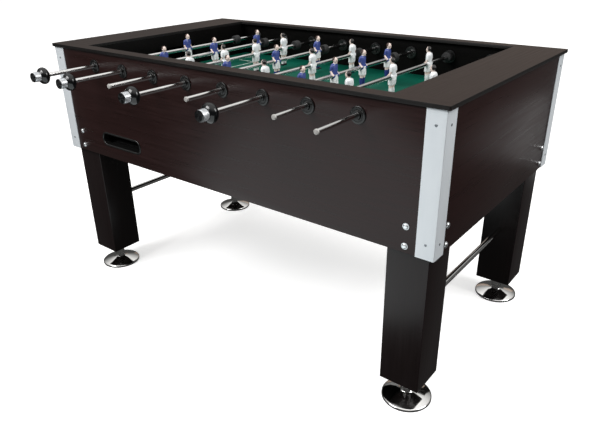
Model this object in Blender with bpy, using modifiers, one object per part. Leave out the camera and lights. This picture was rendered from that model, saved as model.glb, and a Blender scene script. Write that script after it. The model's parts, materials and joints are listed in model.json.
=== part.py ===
"""Foosball table: a laminated cabinet on four legs, with eight player rods.

The table stands on the floor with the origin under its middle. X runs along the
table from the left goal to the right goal, Y runs across it from the front side to
the back side, and Z is up. All sizes are in metres.
"""

import math

import bmesh
import bpy
from mathutils import Matrix, Vector

GAP = 0.0003

# Whole table
TABLE_LENGTH = 1.470
TABLE_WIDTH = 0.830
TABLE_HEIGHT = 0.860

# Top rails, and the opening that they leave over the playing field
RAIL_THICKNESS = 0.010
OPENING_LENGTH = 1.164
OPENING_WIDTH = 0.744

# Cabinet, measured over its corner trims
CABINET_LENGTH = 1.456
CABINET_WIDTH = 0.820
CABINET_BOTTOM = 0.491
PANEL_THICKNESS = 0.016
TRIM_THICKNESS = 0.002
TRIM_WIDTH = 0.049
BOTTOM_PANEL_THICKNESS = 0.012
BOTTOM_PANEL_RECESS = 0.005

# Playing field, and the walls with the goal mouths
FIELD_HEIGHT = 0.730
FIELD_THICKNESS = 0.008
GOAL_WALL_THICKNESS = 0.012
GOAL_WALL_BOTTOM = 0.685
GOAL_WIDTH = 0.200
GOAL_HEIGHT = 0.075

# Legs, levelling feet and leg braces
LEG_SIZE = 0.115
LEG_BOTTOM = 0.077
LEG_TOP = 0.640
FOOT_RADIUS = 0.070
FOOT_COLLAR_RADIUS = 0.0165
FOOT_RIM_HEIGHT = 0.006
FOOT_CONE_TOP = 0.022
STEM_RADIUS = 0.006
STEM_HOLE_RADIUS = 0.0067
STEM_LENGTH = 0.043
STEM_HOLE_DEPTH = 0.050
BRACE_RADIUS = 0.0095
BRACE_HEIGHT = 0.277

# Player rods with their bearings, bumpers and handles
ROD_HEIGHT = 0.805
ROD_SPACING = 0.1455
ROD_RADIUS = 0.00635
ROD_PLAIN_REACH = 0.540
HANDLE_REACH = 0.6235
HANDLE_LENGTH = 0.050
HANDLE_BORE_DEPTH = 0.036
SLEEVE_BORE_RADIUS = 0.0067
BEARING_RADIUS = 0.0215
BEARING_BORE_RADIUS = 0.0072
BEARING_PROUD = 0.004
BUMPER_RADIUS = 0.017
BUMPER_LENGTH = 0.025
BUMPER_REACH = 0.272
KEEPER_BUMPER_REACH = 0.262
LOOSE_BUMPER_REACH = 0.310
SMALL_TURN_STEPS = 12
LARGE_TURN_STEPS = 20

# Men: 118 mm tall, moulded on the rod at the waist
MAN_SPACING_OF_3 = 0.231
MAN_SPACING_OF_4 = 0.156
MAN_FOOT_DROP = 0.064
MAN_HEAD_TOP = 0.054
MAN_DEPTH = 0.018
MAN_HALF_WIDTH = 0.0175
MAN_HEAD_RADIUS = 0.0105

# Rods from the left goal to the right goal: team, number of men, distance that the rod
# is pushed towards the back, and the distances of its front and back bumpers from the
# middle of its men. The blue team's handles are at the front, the white team's at the
# back. A back bumper with no distance has slid off to the back bearing and stays there.
RODS = (
    ("blue", 1, -0.001, KEEPER_BUMPER_REACH, KEEPER_BUMPER_REACH),
    ("blue", 3, -0.005, BUMPER_REACH, BUMPER_REACH),
    ("white", 4, -0.024, BUMPER_REACH, LOOSE_BUMPER_REACH),
    ("blue", 3, -0.005, BUMPER_REACH, BUMPER_REACH),
    ("white", 3, 0.000, BUMPER_REACH, BUMPER_REACH),
    ("blue", 4, -0.007, BUMPER_REACH, BUMPER_REACH),
    ("white", 3, 0.0025, BUMPER_REACH, None),
    ("white", 1, -0.032, KEEPER_BUMPER_REACH, KEEPER_BUMPER_REACH),
)

# Ball returns: a catch pan behind each goal, a sloping chute and a slot in the side
CHUTE_WALL = 0.003
CHUTE_CENTRE = 0.426
CHUTE_WIDTH = 0.216
CHUTE_FRONT_FLOOR = 0.533
CHUTE_FRONT_TOP = 0.592
PAN_HALF_WIDTH = 0.112
PAN_NEAR_FLOOR = 0.602
PAN_FAR_FLOOR = 0.640
PAN_TOP = 0.682
SLOT_HEIGHT = 0.558
SLOT_LENGTH = 0.200
SLOT_DEPTH = 0.043
COLLAR_WALL = 0.003
COLLAR_LIP = 0.003

# Worked out from the sizes above
PANEL_X = CABINET_LENGTH / 2 - TRIM_THICKNESS - GAP
PANEL_Y = CABINET_WIDTH / 2 - TRIM_THICKNESS - GAP
INSIDE_X = PANEL_X - PANEL_THICKNESS
INSIDE_Y = PANEL_Y - PANEL_THICKNESS
PANEL_TOP = TABLE_HEIGHT - RAIL_THICKNESS - GAP
LEG_X = INSIDE_X - GAP - LEG_SIZE / 2
LEG_Y = INSIDE_Y - GAP - LEG_SIZE / 2
GOAL_WALL_X = OPENING_LENGTH / 2
CORNERS = {
    "front_left": (-1, -1),
    "front_right": (1, -1),
    "back_left": (-1, 1),
    "back_right": (1, 1),
}
SPACINGS = {1: 0.0, 3: MAN_SPACING_OF_3, 4: MAN_SPACING_OF_4}

# Colour, metallic value and roughness
FINISHES = {
    "dark_laminate": ((0.030, 0.014, 0.012), 0.0, 0.35),
    "brown_laminate": ((0.050, 0.033, 0.027), 0.0, 0.45),
    "black_lining": ((0.010, 0.010, 0.010), 0.0, 0.60),
    "green_field": ((0.012, 0.130, 0.060), 0.0, 0.45),
    "aluminium": ((0.800, 0.820, 0.820), 1.0, 0.35),
    "chrome": ((0.780, 0.780, 0.790), 1.0, 0.12),
    "black_rubber": ((0.012, 0.012, 0.013), 0.0, 0.70),
    "black_plastic": ((0.010, 0.012, 0.014), 0.0, 0.20),
    "blue_player": ((0.040, 0.070, 0.300), 0.0, 0.40),
    "white_player": ((0.780, 0.780, 0.780), 0.0, 0.40),
}


def clear_scene():
    for item in list(bpy.data.objects):
        bpy.data.objects.remove(item, do_unlink=True)


def make_collection(name, hidden=False):
    collection = bpy.data.collections.new(name)
    bpy.context.scene.collection.children.link(collection)
    collection.hide_render = hidden
    return collection


def make_material(name, finish):
    colour, metallic, roughness = FINISHES[finish]
    material = bpy.data.materials.new(name)
    material.use_nodes = True
    shader = material.node_tree.nodes["Principled BSDF"]
    shader.inputs["Base Color"].default_value = (*colour, 1.0)
    shader.inputs["Metallic"].default_value = metallic
    shader.inputs["Roughness"].default_value = roughness
    return material


def place_part(name, mesh, finish, place=(0, 0, 0), parent=None):
    """Add a sub-part to the table's collection, with its origin at place."""
    part = bpy.data.objects.new(name, mesh)
    PARTS.objects.link(part)
    material = make_material(name + "_" + finish, finish)
    part.data.materials.clear()
    part.data.materials.append(material)
    part.parent = parent
    part.location = place
    return part


def place_tool(name, mesh, place=(0, 0, 0)):
    """Add a shape that cuts or joins a sub-part, and isn't one itself."""
    tool = bpy.data.objects.new(name, mesh)
    TOOLS.objects.link(tool)
    tool.location = place
    tool.hide_render = True
    tool.display_type = "WIRE"
    return tool


def place_joint(name, place, parent=None):
    """Add the empty that stands on a moving piece's joint axis."""
    joint = bpy.data.objects.new(name, None)
    PARTS.objects.link(joint)
    joint.parent = parent
    joint.location = place
    joint.empty_display_size = 0.03
    return joint


def combine(part, tool, operation):
    step = part.modifiers.new(operation.lower() + "_" + tool.name, "BOOLEAN")
    step.operation = operation
    step.solver = "EXACT"
    step.object = tool


def box_mesh(name, low, high):
    low = Vector(low)
    high = Vector(high)
    shape = bmesh.new()
    stretch = Matrix.Diagonal((*(high - low), 1.0))
    bmesh.ops.create_cube(shape, size=1.0, matrix=Matrix.Translation((low + high) / 2) @ stretch)
    return finished_mesh(name, shape)


def rod_mesh(name, radius, start, end, sides):
    """A cylinder along Y from start to end, with flats towards +Z and -Z."""
    shape = bmesh.new()
    turn = Matrix.Rotation(math.radians(90), 4, "X") @ Matrix.Rotation(math.pi / sides, 4, "Z")
    middle = Matrix.Translation((0, (start + end) / 2, 0))
    bmesh.ops.create_cone(
        shape, cap_ends=True, segments=sides, radius1=radius, radius2=radius,
        depth=end - start, matrix=middle @ turn,
    )
    return finished_mesh(name, shape, smooth=True)


def outline_mesh(name, points, thickness):
    """A flat outline in X and Y, made thickness deep and centred on Z."""
    curve = bpy.data.curves.new(name, "CURVE")
    curve.dimensions = "2D"
    curve.fill_mode = "BOTH"
    curve.extrude = thickness / 2
    spline = curve.splines.new("POLY")
    spline.points.add(len(points) - 1)
    for point, (x, y) in zip(spline.points, points):
        point.co = (x, y, 0, 1)
    spline.use_cyclic_u = True
    return mesh_from_curve(name, curve)


def mesh_from_curve(name, curve):
    holder = bpy.data.objects.new(name, curve)
    bpy.context.scene.collection.objects.link(holder)
    seen = holder.evaluated_get(bpy.context.evaluated_depsgraph_get())
    mesh = bpy.data.meshes.new_from_object(seen)
    bpy.data.objects.remove(holder)
    shape = bmesh.new()
    shape.from_mesh(mesh)
    bmesh.ops.remove_doubles(shape, verts=shape.verts, dist=0.00001)
    bmesh.ops.recalc_face_normals(shape, faces=shape.faces)
    return finished_mesh(name, shape)


def turned_mesh(name, profile, steps, closed=False):
    """Turn a profile of radius and height about Z, running down its outer side."""
    mesh = bpy.data.meshes.new(name)
    edges = [(i, i + 1) for i in range(len(profile) - 1)]
    if closed:
        edges.append((len(profile) - 1, 0))
    mesh.from_pydata([(radius, 0, height) for radius, height in profile], edges, [])
    holder = bpy.data.objects.new(name, mesh)
    bpy.context.scene.collection.objects.link(holder)
    screw = holder.modifiers.new("turn", "SCREW")
    screw.steps = steps
    screw.render_steps = steps
    screw.use_merge_vertices = True
    screw.merge_threshold = 0.00001
    turned = bpy.data.meshes.new_from_object(
        holder.evaluated_get(bpy.context.evaluated_depsgraph_get())
    )
    bpy.data.objects.remove(holder)
    turned.name = name
    shade_round(turned)
    return turned


def finished_mesh(name, shape, smooth=False):
    mesh = bpy.data.meshes.new(name)
    shape.to_mesh(mesh)
    shape.free()
    if smooth:
        shade_round(mesh)
    return mesh


def shade_round(mesh):
    mesh.shade_smooth()
    mesh.set_sharp_from_angle(angle=math.radians(40))


def turn_to_y(mesh, direction):
    """Lay a shape made along +Z down along Y, pointing in the given direction."""
    mesh.transform(Matrix.Rotation(math.radians(-90) * direction, 4, "X"))
    return mesh


def stadium(length, depth, steps=6):
    """Points round a slot with round ends, length along X and depth along Y."""
    radius = depth / 2
    points = []
    for side in (1, -1):
        for i in range(steps + 1):
            angle = math.radians(-90 + 180 * i / steps)
            x = side * (length / 2 - radius + radius * math.cos(angle))
            points.append((x, side * radius * math.sin(angle)))
    return points


def place_box(name, low, high, finish):
    """A box with its origin at its own centre."""
    low = Vector(low)
    high = Vector(high)
    centre = (low + high) / 2
    return place_part(name, box_mesh(name, low - centre, high - centre), finish, centre)


def make_side_panel(name, side):
    """Front or back panel with its eight rod bearings and its ball return slot."""
    panel = place_box(
        name,
        (-PANEL_X, min(side * PANEL_Y, side * INSIDE_Y), CABINET_BOTTOM),
        (PANEL_X, max(side * PANEL_Y, side * INSIDE_Y), PANEL_TOP),
        "dark_laminate",
    )
    reach = PANEL_THICKNESS / 2 + BEARING_PROUD
    middle_y = side * (PANEL_Y - PANEL_THICKNESS / 2)
    flange = rod_mesh("bearing_flange", BEARING_RADIUS, -reach, reach, SMALL_TURN_STEPS)
    bore = rod_mesh("bearing_bore", BEARING_BORE_RADIUS, -2 * reach, 2 * reach, SMALL_TURN_STEPS)
    for operation, mesh in (("UNION", flange), ("DIFFERENCE", bore)):
        for number in range(1, len(RODS) + 1):
            place = (rod_x(number), middle_y, ROD_HEIGHT)
            tool = place_tool("%s_%s_%d" % (name, mesh.name, number), mesh, place)
            combine(panel, tool, operation)
    slot = outline_mesh(name + "_slot", stadium(SLOT_LENGTH, SLOT_DEPTH), 2 * PANEL_THICKNESS)
    slot.transform(Matrix.Rotation(math.radians(90), 4, "X"))
    place = (side * CHUTE_CENTRE, middle_y, SLOT_HEIGHT)
    combine(panel, place_tool(name + "_slot", slot, place), "DIFFERENCE")


def make_end_panel(name, side):
    """Left or right end panel, held between the front and back panels."""
    place_box(
        name,
        (min(side * PANEL_X, side * INSIDE_X), -INSIDE_Y + GAP, CABINET_BOTTOM),
        (max(side * PANEL_X, side * INSIDE_X), INSIDE_Y - GAP, PANEL_TOP),
        "dark_laminate",
    )


def make_rails():
    """Two long rails over the sides, and two wide rails between them over the ends."""
    bottom = TABLE_HEIGHT - RAIL_THICKNESS
    inner_x = OPENING_LENGTH / 2
    inner_y = OPENING_WIDTH / 2
    outer_x = TABLE_LENGTH / 2
    outer_y = TABLE_WIDTH / 2
    place_box("front_rail", (-outer_x, -outer_y, bottom), (outer_x, -inner_y, TABLE_HEIGHT),
              "brown_laminate")
    place_box("back_rail", (-outer_x, inner_y, bottom), (outer_x, outer_y, TABLE_HEIGHT),
              "brown_laminate")
    place_box("left_rail", (-outer_x, -inner_y + GAP, bottom), (-inner_x, inner_y - GAP, TABLE_HEIGHT),
              "brown_laminate")
    place_box("right_rail", (inner_x, -inner_y + GAP, bottom), (outer_x, inner_y - GAP, TABLE_HEIGHT),
              "brown_laminate")


def make_corner_trim(corner):
    """Aluminium angle over one upright corner of the cabinet."""
    side_x, side_y = CORNERS[corner]
    width = TRIM_WIDTH
    wall = TRIM_THICKNESS
    angle = [(0, 0), (-width, 0), (-width, -wall), (-wall, -wall), (-wall, -width), (0, -width)]
    points = [(side_x * x, side_y * y) for x, y in angle]
    if side_x * side_y < 0:
        points.reverse()
    height = PANEL_TOP - CABINET_BOTTOM
    mesh = outline_mesh("corner_trim_" + corner, points, height)
    place = (side_x * CABINET_LENGTH / 2, side_y * CABINET_WIDTH / 2, CABINET_BOTTOM + height / 2)
    place_part("corner_trim_" + corner, mesh, "aluminium", place)


def make_playfield():
    place_box(
        "playfield",
        (-GOAL_WALL_X + GAP, -INSIDE_Y + GAP, FIELD_HEIGHT - FIELD_THICKNESS),
        (GOAL_WALL_X - GAP, INSIDE_Y - GAP, FIELD_HEIGHT),
        "green_field",
    )


def make_goal_wall(name, side):
    """End wall of the playing field, with the goal mouth down to the field."""
    inner = side * GOAL_WALL_X
    outer = side * (GOAL_WALL_X + GOAL_WALL_THICKNESS)
    wall = place_box(
        name,
        (min(inner, outer), -INSIDE_Y + GAP, GOAL_WALL_BOTTOM),
        (max(inner, outer), INSIDE_Y - GAP, PANEL_TOP),
        "black_lining",
    )
    mouth = box_mesh(
        name + "_mouth",
        (-GOAL_WALL_THICKNESS, -GOAL_WIDTH / 2, 0),
        (GOAL_WALL_THICKNESS, GOAL_WIDTH / 2, GOAL_HEIGHT),
    )
    place = ((inner + outer) / 2, 0, FIELD_HEIGHT)
    combine(wall, place_tool(name + "_mouth", mouth, place), "DIFFERENCE")


def make_bottom_panel():
    """Cabinet floor, notched at its corners round the legs."""
    bottom = CABINET_BOTTOM + BOTTOM_PANEL_RECESS
    panel = place_box(
        "bottom_panel",
        (-INSIDE_X + GAP, -INSIDE_Y + GAP, bottom),
        (INSIDE_X - GAP, INSIDE_Y - GAP, bottom + BOTTOM_PANEL_THICKNESS),
        "black_lining",
    )
    reach = LEG_SIZE / 2 + GAP
    beyond = 2 * PANEL_THICKNESS
    for corner, (side_x, side_y) in CORNERS.items():
        across_x = sorted((-side_x * reach, side_x * (reach + beyond)))
        across_y = sorted((-side_y * reach, side_y * (reach + beyond)))
        notch = box_mesh(
            "bottom_notch_" + corner,
            (across_x[0], across_y[0], -BOTTOM_PANEL_THICKNESS),
            (across_x[1], across_y[1], BOTTOM_PANEL_THICKNESS),
        )
        place = (side_x * LEG_X, side_y * LEG_Y, bottom + BOTTOM_PANEL_THICKNESS / 2)
        combine(panel, place_tool("bottom_notch_" + corner, notch, place), "DIFFERENCE")


def make_leg(corner):
    """Square leg bolted inside its corner, with a blind hole for the foot's stem."""
    side_x, side_y = CORNERS[corner]
    half = LEG_SIZE / 2
    height = LEG_TOP - LEG_BOTTOM
    mesh = box_mesh("leg_" + corner, (-half, -half, 0), (half, half, height))
    place = (side_x * LEG_X, side_y * LEG_Y, LEG_BOTTOM)
    leg = place_part("leg_" + corner, mesh, "dark_laminate", place)
    shape = bmesh.new()
    bmesh.ops.create_cone(
        shape, cap_ends=True, segments=SMALL_TURN_STEPS, radius1=STEM_HOLE_RADIUS,
        radius2=STEM_HOLE_RADIUS, depth=2 * STEM_HOLE_DEPTH,
    )
    hole = finished_mesh("stem_hole_" + corner, shape)
    combine(leg, place_tool("stem_hole_" + corner, hole, place), "DIFFERENCE")


def make_foot(corner):
    """Turned levelling foot: a low cone, a collar and a stem that screws into the leg."""
    side_x, side_y = CORNERS[corner]
    collar_top = LEG_BOTTOM - GAP
    profile = [
        (0, LEG_BOTTOM + STEM_LENGTH),
        (STEM_RADIUS, LEG_BOTTOM + STEM_LENGTH),
        (STEM_RADIUS, collar_top),
        (FOOT_COLLAR_RADIUS, collar_top),
        (FOOT_COLLAR_RADIUS, FOOT_CONE_TOP + 0.004),
        (FOOT_COLLAR_RADIUS + 0.003, FOOT_CONE_TOP),
        (FOOT_RADIUS - 0.003, FOOT_RIM_HEIGHT + 0.003),
        (FOOT_RADIUS, FOOT_RIM_HEIGHT),
        (FOOT_RADIUS, 0),
        (0, 0),
    ]
    slide = place_joint("foot_%s_axis" % corner, (side_x * LEG_X, side_y * LEG_Y, 0))
    mesh = turned_mesh("foot_" + corner, profile, LARGE_TURN_STEPS)
    place_part("foot_" + corner, mesh, "chrome", parent=slide)


def make_brace(name, side):
    """Round tie bar between the front and back legs of one end."""
    reach = LEG_Y - LEG_SIZE / 2 - GAP
    mesh = rod_mesh(name, BRACE_RADIUS, -reach, reach, SMALL_TURN_STEPS)
    place_part(name, mesh, "chrome", (side * LEG_X, 0, BRACE_HEIGHT))


def chute_tool(name, points, thickness, turn, place):
    mesh = outline_mesh(name, points, thickness)
    mesh.transform(turn)
    return place_tool(name, mesh, place)


def make_ball_return(name, half_turn):
    """Catch pan behind a goal, with a sloping chute to the slot in the side panel.

    It is laid out for the left goal and the front side. The other one is the same
    piece, turned half round.
    """
    wall = CHUTE_WALL
    to_xz = Matrix.Rotation(math.radians(90), 4, "X")
    to_yz = Matrix.Rotation(math.radians(90), 4, "Z") @ to_xz
    near_x = -CHUTE_CENTRE + CHUTE_WIDTH / 2
    step_x = -CHUTE_CENTRE - CHUTE_WIDTH / 2
    far_x = -INSIDE_X + 2 * wall
    front_y = -INSIDE_Y + GAP
    spin = Matrix.Rotation(math.pi if half_turn else 0, 4, "Z")

    pan = [
        (near_x, PAN_NEAR_FLOOR), (near_x, PAN_TOP), (far_x, PAN_TOP),
        (far_x, PAN_FAR_FLOOR), (step_x, PAN_NEAR_FLOOR + wall),
    ]
    pan_inside = [
        (near_x - wall, PAN_NEAR_FLOOR + wall), (near_x - wall, PAN_TOP + wall),
        (far_x + wall, PAN_TOP + wall), (far_x + wall, PAN_FAR_FLOOR + wall),
        (step_x, PAN_NEAR_FLOOR + 2 * wall),
    ]
    chute = [
        (front_y, CHUTE_FRONT_FLOOR), (-PAN_HALF_WIDTH + wall, PAN_NEAR_FLOOR),
        (-PAN_HALF_WIDTH + wall, PAN_TOP), (front_y, CHUTE_FRONT_TOP),
    ]
    chute_inside = [
        (front_y + wall, CHUTE_FRONT_FLOOR + wall), (-PAN_HALF_WIDTH + 2 * wall, PAN_NEAR_FLOOR + wall),
        (-PAN_HALF_WIDTH + 2 * wall, PAN_TOP + wall), (front_y + wall, CHUTE_FRONT_TOP + wall),
    ]
    mesh = outline_mesh(name, [(x, z) for x, z in reversed(pan)], 2 * PAN_HALF_WIDTH)
    mesh.transform(spin @ to_xz)
    tray = place_part(name, mesh, "black_plastic")

    collar_start = front_y + wall
    lip_start = -CABINET_WIDTH / 2 + TRIM_THICKNESS
    lip_end = -CABINET_WIDTH / 2
    neck_length = SLOT_LENGTH - 2 * GAP
    neck_depth = SLOT_DEPTH - 2 * GAP
    pieces = (
        ("chute", "UNION", chute, CHUTE_WIDTH, to_yz, (-CHUTE_CENTRE, 0, 0)),
        ("neck", "UNION", stadium(neck_length, neck_depth), collar_start - lip_end, to_xz,
         (-CHUTE_CENTRE, (collar_start + lip_end) / 2, SLOT_HEIGHT)),
        ("lip", "UNION", stadium(SLOT_LENGTH + 2 * COLLAR_LIP, SLOT_DEPTH + 2 * COLLAR_LIP),
         lip_start - lip_end, to_xz,
         (-CHUTE_CENTRE, (lip_start + lip_end) / 2, SLOT_HEIGHT)),
        ("pan_inside", "DIFFERENCE", pan_inside, 2 * (PAN_HALF_WIDTH - wall), to_xz, (0, 0, 0)),
        ("chute_inside", "DIFFERENCE", chute_inside, CHUTE_WIDTH - 2 * wall, to_yz,
         (-CHUTE_CENTRE, 0, 0)),
        ("mouth", "DIFFERENCE",
         stadium(neck_length - 2 * COLLAR_WALL, neck_depth - 2 * COLLAR_WALL), 0.040, to_xz,
         (-CHUTE_CENTRE, (collar_start + lip_end) / 2, SLOT_HEIGHT)),
    )
    for label, operation, points, thickness, turn, place in pieces:
        tool = chute_tool("%s_%s" % (name, label), points, thickness, spin @ turn, spin @ Vector(place))
        combine(tray, tool, operation)


def rod_x(number):
    return (number - (len(RODS) + 1) / 2) * ROD_SPACING


def make_man_meshes():
    """Meshes of a man's body, legs and head, about the rod's axis, shared by all men."""
    half = MAN_HALF_WIDTH
    body_front = [
        (-half + 0.003, -0.028), (half - 0.003, -0.028), (half - 0.002, 0.006), (half, 0.022),
        (half - 0.006, 0.031), (0.006, 0.035), (-0.006, 0.035), (-half + 0.006, 0.031),
        (-half, 0.022), (-half + 0.002, 0.006),
    ]
    to_yz = Matrix.Rotation(math.radians(90), 4, "Z") @ Matrix.Rotation(math.radians(90), 4, "X")
    body = outline_mesh("man_body", body_front, MAN_DEPTH)
    body.transform(to_yz)
    drop = MAN_FOOT_DROP
    legs_side = [
        (-0.010, -drop), (0.010, -drop), (0.010, -drop + 0.006), (0.006, -drop + 0.014),
        (0.008, -0.024), (-0.008, -0.024), (-0.006, -drop + 0.014), (-0.010, -drop + 0.006),
    ]
    legs = outline_mesh("man_legs", legs_side, 2 * half - 0.008)
    legs.transform(Matrix.Rotation(math.radians(90), 4, "X"))
    shape = bmesh.new()
    radius = MAN_HEAD_RADIUS
    bmesh.ops.create_uvsphere(shape, u_segments=6, v_segments=5, radius=radius)
    head = finished_mesh("man_head", shape, smooth=True)
    head.transform(Matrix.Translation((0, 0, MAN_HEAD_TOP - radius)))
    return body, legs, head


def make_rod(number, man_meshes):
    """One player rod with its men, two bumpers and handle, on its slide and spin axes."""
    team, men, push, front, back = RODS[number - 1]
    handle_side = -1 if team == "blue" else 1
    slide = place_joint("rod_%d_slide_axis" % number, (rod_x(number), push, ROD_HEIGHT))
    spin = place_joint("rod_%d_spin_axis" % number, (0, 0, 0), slide)

    handle_start = HANDLE_REACH - HANDLE_LENGTH
    rod_end = handle_start + HANDLE_BORE_DEPTH - GAP
    ends = sorted((handle_side * rod_end, -handle_side * ROD_PLAIN_REACH))
    name = "player_rod_%d" % number
    rod = place_part(name, rod_mesh(name, ROD_RADIUS, *ends, SMALL_TURN_STEPS), team + "_player",
                     parent=spin)
    for man in range(men):
        y = (man - (men - 1) / 2) * SPACINGS[men]
        for mesh in man_meshes:
            tool = place_tool("%s_%s_%d" % (name, mesh.name, man + 1), mesh,
                              (rod_x(number), push + y, ROD_HEIGHT))
            combine(rod, tool, "UNION")

    bore = SLEEVE_BORE_RADIUS
    handle_profile = [
        (0, HANDLE_LENGTH), (0.0135, HANDLE_LENGTH), (0.0148, HANDLE_LENGTH - 0.001),
        (0.0148, 0.0285), (0.0190, 0.0265), (0.0240, 0.0215), (0.0255, 0.0150),
        (0.0240, 0.0085), (0.0190, 0.0030), (0.0120, 0), (bore, 0), (bore, HANDLE_BORE_DEPTH),
        (0, HANDLE_BORE_DEPTH),
    ]
    handle = turn_to_y(turned_mesh("handle_%d" % number, handle_profile, SMALL_TURN_STEPS),
                       handle_side)
    handle.transform(Matrix.Translation((0, handle_side * handle_start, 0)))
    place_part("handle_%d" % number, handle, "black_plastic", parent=spin)

    ring = [
        (BUMPER_RADIUS, BUMPER_LENGTH / 2), (BUMPER_RADIUS, -BUMPER_LENGTH / 2),
        (bore, -BUMPER_LENGTH / 2), (bore, BUMPER_LENGTH / 2),
    ]
    for side_name, side, reach in (("front", -1, front), ("back", 1, back)):
        name = "%s_bumper_%d" % (side_name, number)
        mesh = turn_to_y(turned_mesh(name, ring, SMALL_TURN_STEPS, closed=True), 1)
        if reach is None:
            resting = INSIDE_Y - BEARING_PROUD - GAP - BUMPER_LENGTH / 2
            place_part(name, mesh, "black_rubber", (rod_x(number), side * resting, ROD_HEIGHT))
        else:
            mesh.transform(Matrix.Translation((0, side * reach, 0)))
            place_part(name, mesh, "black_rubber", parent=slide)


clear_scene()
PARTS = make_collection("foosball_table")
TOOLS = make_collection("cutters", hidden=True)

make_side_panel("front_panel", -1)
make_side_panel("back_panel", 1)
make_end_panel("left_end_panel", -1)
make_end_panel("right_end_panel", 1)
make_rails()
make_playfield()
make_goal_wall("left_goal_wall", -1)
make_goal_wall("right_goal_wall", 1)
make_bottom_panel()
make_brace("leg_brace_left", -1)
make_brace("leg_brace_right", 1)
for corner_name in CORNERS:
    make_corner_trim(corner_name)
    make_leg(corner_name)
    make_foot(corner_name)
make_ball_return("ball_return_front", False)
make_ball_return("ball_return_back", True)
MAN_MESHES = make_man_meshes()
for rod_number in range(1, len(RODS) + 1):
    make_rod(rod_number, MAN_MESHES)
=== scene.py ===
"""Looks of the foosball table: laminated boards, chrome rods, painted men and fittings.

All lengths are in metres. X runs along the table from the left goal to the right goal,
Y runs across it from the front to the back, and Z is up from the floor.
"""

import json
import math

import bmesh
import bpy
from mathutils import Matrix, Vector


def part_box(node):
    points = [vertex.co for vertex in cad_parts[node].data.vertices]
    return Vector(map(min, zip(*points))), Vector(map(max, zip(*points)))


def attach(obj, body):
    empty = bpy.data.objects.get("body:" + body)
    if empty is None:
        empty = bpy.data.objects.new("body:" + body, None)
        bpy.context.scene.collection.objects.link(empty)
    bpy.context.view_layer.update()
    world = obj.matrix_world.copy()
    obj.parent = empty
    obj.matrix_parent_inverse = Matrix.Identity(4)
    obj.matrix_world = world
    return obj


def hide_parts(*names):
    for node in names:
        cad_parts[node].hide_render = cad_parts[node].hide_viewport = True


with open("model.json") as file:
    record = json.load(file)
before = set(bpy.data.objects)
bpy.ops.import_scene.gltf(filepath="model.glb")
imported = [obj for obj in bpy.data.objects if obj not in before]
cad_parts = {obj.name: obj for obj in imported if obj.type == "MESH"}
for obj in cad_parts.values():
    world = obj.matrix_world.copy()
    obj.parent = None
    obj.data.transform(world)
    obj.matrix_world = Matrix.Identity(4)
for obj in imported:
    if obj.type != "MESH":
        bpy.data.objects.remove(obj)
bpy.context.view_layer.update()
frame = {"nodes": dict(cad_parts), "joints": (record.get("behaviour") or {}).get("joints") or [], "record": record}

MM = 0.001
GAP = 0.3 * MM
WELD = 0.001 * MM

# Rods from the left goal to the right goal
TEAMS = ("blue", "blue", "white", "blue", "white", "blue", "white", "white")
MEN = (1, 3, 4, 3, 3, 4, 3, 1)
MAN_SPACING = {1: 0.0, 3: 0.231, 4: 0.156}
RODS = range(1, 9)

CORNERS = {
    "front_left": (-1, -1),
    "front_right": (1, -1),
    "back_left": (-1, 1),
    "back_right": (1, 1),
}
QUARTER = math.radians(90)

# Most of a noise lies between these values
NOISE_LOW = 0.3
NOISE_HIGH = 0.7


# ---------- colours and nodes

def linear(colour):
    """An sRGB hex colour as linear red, green and blue, with full alpha."""
    channels = [int(colour[i:i + 2], 16) / 255 for i in (1, 3, 5)]
    spread = [c / 12.92 if c <= 0.04045 else ((c + 0.055) / 1.055) ** 2.4 for c in channels]
    return (*spread, 1.0)


def add(tree, kind, values=None, links=None, **settings):
    """Add a node with its settings, the values of its sockets, and links into them.

    A socket is given by its name or number. A link comes from a socket or from a node,
    which then gives its first output.
    """
    node = tree.nodes.new(kind)
    for name, value in settings.items():
        setattr(node, name, value)
    named = {socket.name: socket for socket in reversed(node.inputs) if socket.enabled}
    for key, value in (values or {}).items():
        socket = node.inputs[key] if isinstance(key, int) else named[key]
        socket.default_value = value
    for key, source in (links or {}).items():
        socket = node.inputs[key] if isinstance(key, int) else named[key]
        if isinstance(source, bpy.types.Node):
            source = next(output for output in source.outputs if output.enabled)
        tree.links.new(source, socket)
    return node


def start_material(name, values):
    """A new material with its Principled shader's own values set."""
    material = bpy.data.materials.new(name)
    material.use_nodes = True
    tree = material.node_tree
    shader = tree.nodes["Principled BSDF"]
    for socket, value in values.items():
        shader.inputs[socket].default_value = value
    return material, tree, shader


def stretched_noise(tree, sizes, detail=4.0, distortion=0.0):
    """Noise whose grains have the given sizes in metres along X, Y and Z."""
    place = add(tree, "ShaderNodeTexCoord")
    scaled = add(tree, "ShaderNodeMapping", {"Scale": [1 / size for size in sizes]},
                 {"Vector": place.outputs["Object"]})
    return add(tree, "ShaderNodeTexNoise",
               {"Scale": 1.0, "Detail": detail, "Roughness": 0.55, "Distortion": distortion},
               {"Vector": scaled})


def vary_colour(tree, shader, factor, dark, light):
    """Base colour between two colours by a factor."""
    mix = add(tree, "ShaderNodeMix", {"A": linear(dark), "B": linear(light)},
              {"Factor": factor}, data_type="RGBA")
    tree.links.new(next(o for o in mix.outputs if o.enabled), shader.inputs["Base Color"])


def vary_roughness(tree, shader, factor, low, high):
    spread = add(tree, "ShaderNodeMapRange",
                 {"From Min": NOISE_LOW, "From Max": NOISE_HIGH, "To Min": low, "To Max": high},
                 {"Value": factor})
    tree.links.new(spread.outputs["Result"], shader.inputs["Roughness"])


def emboss(tree, shader, height, depth):
    """Bump with a depth in metres."""
    bump = add(tree, "ShaderNodeBump", {"Strength": 1.0, "Distance": depth}, {"Height": height})
    tree.links.new(bump.outputs["Normal"], shader.inputs["Normal"])


# ---------- materials

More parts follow.
